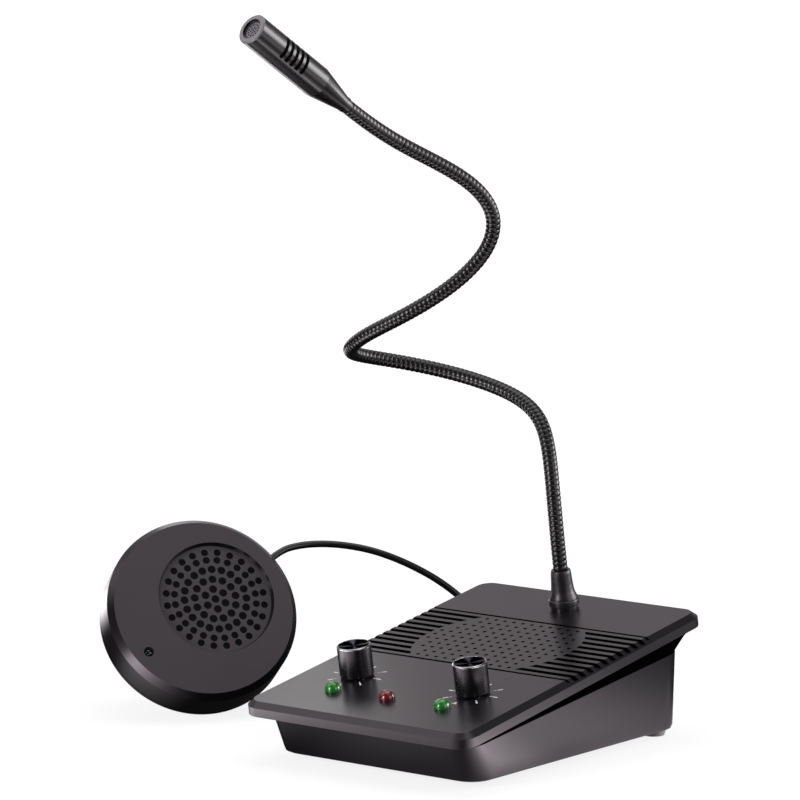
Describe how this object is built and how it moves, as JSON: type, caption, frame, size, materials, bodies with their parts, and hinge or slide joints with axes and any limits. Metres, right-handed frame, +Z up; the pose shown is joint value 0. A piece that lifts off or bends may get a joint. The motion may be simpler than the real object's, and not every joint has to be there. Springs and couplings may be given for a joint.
{
  "type": "teller window intercom",
  "caption": "Counter intercom: sloped desk unit with grille, volume knobs and lamps, a bendable gooseneck microphone, and a round speaker unit for the customer side on a thin cable.",
  "frame": {"origin": "centre of the desk unit's plan, on the desk", "axes": "+Z up, -Y towards the person at the desk unit's knobs, +X to that person's right"},
  "size_m": [0.2708, 0.2699, 0.3439],
  "materials": {
    "black_shell": "fine satin moulding",
    "black_knob": "satin sides",
    "bright_ring": "turned",
    "black_metal": "semi-gloss black",
    "grey_ring": "satin",
    "green_lens": "clear dyed",
    "red_lens": "clear dyed",
    "rubber_black": "matte",
    "rubber_grey": "matte",
    "steel": "zinc plated",
    "speaker_paper": "black paper",
    "magnet": "ferrite",
    "board_green": "solder mask",
    "cable_black": "smooth sheath",
    "brass": "plated",
    "aluminium_can": "drawn can"
  },
  "bodies": {
    "base": {"top_cover": "black_shell", "lower_housing": "black_shell", "rubber_feet": "rubber_grey", "shell_screws": "steel", "board_screws": "steel", "speaker_gasket": "rubber_black", "speaker_frame": "steel", "speaker_magnet": "magnet", "speaker_cone": "speaker_paper", "left_pot": "steel", "right_pot": "steel", "left_lamp": "green_lens", "power_lamp": "red_lens", "right_lamp": "green_lens", "lamp_holders": "black_shell", "control_board": "board_green", "main_board": "board_green", "board_components": "black_shell", "line_socket": "black_shell", "power_socket": "black_shell", "switch_frame": "black_shell", "neck_collar": "black_metal", "neck_nut": "steel", "neck_boot": "black_metal", "neck_stub": "black_metal", "neck_root": "black_metal", "puck_shell": "black_shell", "puck_back": "black_shell", "puck_screws": "steel", "puck_gasket": "rubber_black", "puck_speaker": "steel", "puck_cone": "speaker_paper", "puck_mic": "aluminium_can", "puck_mic_grommet": "rubber_black", "puck_bracket": "black_metal", "puck_bracket_screw": "steel", "puck_gland": "rubber_black", "outdoor_cable": "cable_black", "outdoor_cable_coil": "cable_black", "outdoor_cable_tail": "cable_black", "plug_body": "black_shell", "plug_tip": "brass", "plug_relief": "rubber_black"},
    "left_knob": {"left_knob": "black_knob", "left_knob_cap": "black_knob", "left_pot_shaft": "brass"},
    "right_knob": {"right_knob": "black_knob", "right_knob_cap": "black_knob", "right_pot_shaft": "brass"},
    "rocker": {"switch_rocker": "black_knob"},
    "neck_lower": {"neck_lower": "black_metal", "neck_waist": "black_metal"},
    "neck_main": {"neck_main": "black_metal", "neck_tip": "black_metal"},
    "microphone": {"mic_tail": "black_metal", "mic_barrel": "black_metal", "mic_liner": "rubber_black", "mic_ring": "grey_ring", "mic_mesh": "steel", "mic_capsule": "aluminium_can"}
  },
  "joints": [
    {"name": "left_knob_spin", "type": "hinge", "parent": "base", "child": "left_knob", "pos_m": [-0.0348, -0.04537, 0.04186], "axis": [0, -0.1641, 0.9865], "range_deg": [-150, 150]},
    {"name": "right_knob_spin", "type": "hinge", "parent": "base", "child": "right_knob", "pos_m": [0.0332, -0.04537, 0.04186], "axis": [0, -0.1641, 0.9865], "range_deg": [-150, 150]},
    {"name": "power_rocker", "type": "hinge", "parent": "base", "child": "rocker", "pos_m": [0.039, 0.08171, 0.022], "axis": [1, 0, 0], "range_deg": [-14, 0]},
    {"name": "neck_root_bend", "type": "hinge", "parent": "base", "child": "neck_lower", "pos_m": [-0.00131, 0.06478, 0.09208], "axis": [1, 0, 0], "range_deg": [-20, 25], "deforming": ["neck_root"]},
    {"name": "neck_waist_bend", "type": "hinge", "parent": "neck_lower", "child": "neck_main", "pos_m": [-0.0252, 0.07403, 0.15], "axis": [0, 1, 0], "range_deg": [-20, 20], "deforming": ["neck_waist"]},
    {"name": "microphone_tilt", "type": "hinge", "parent": "neck_main", "child": "microphone", "pos_m": [-0.04305, -0.02057, 0.28959], "axis": [1, 0, 0], "range_deg": [-35, 30], "deforming": ["neck_tip"]}
  ]
}
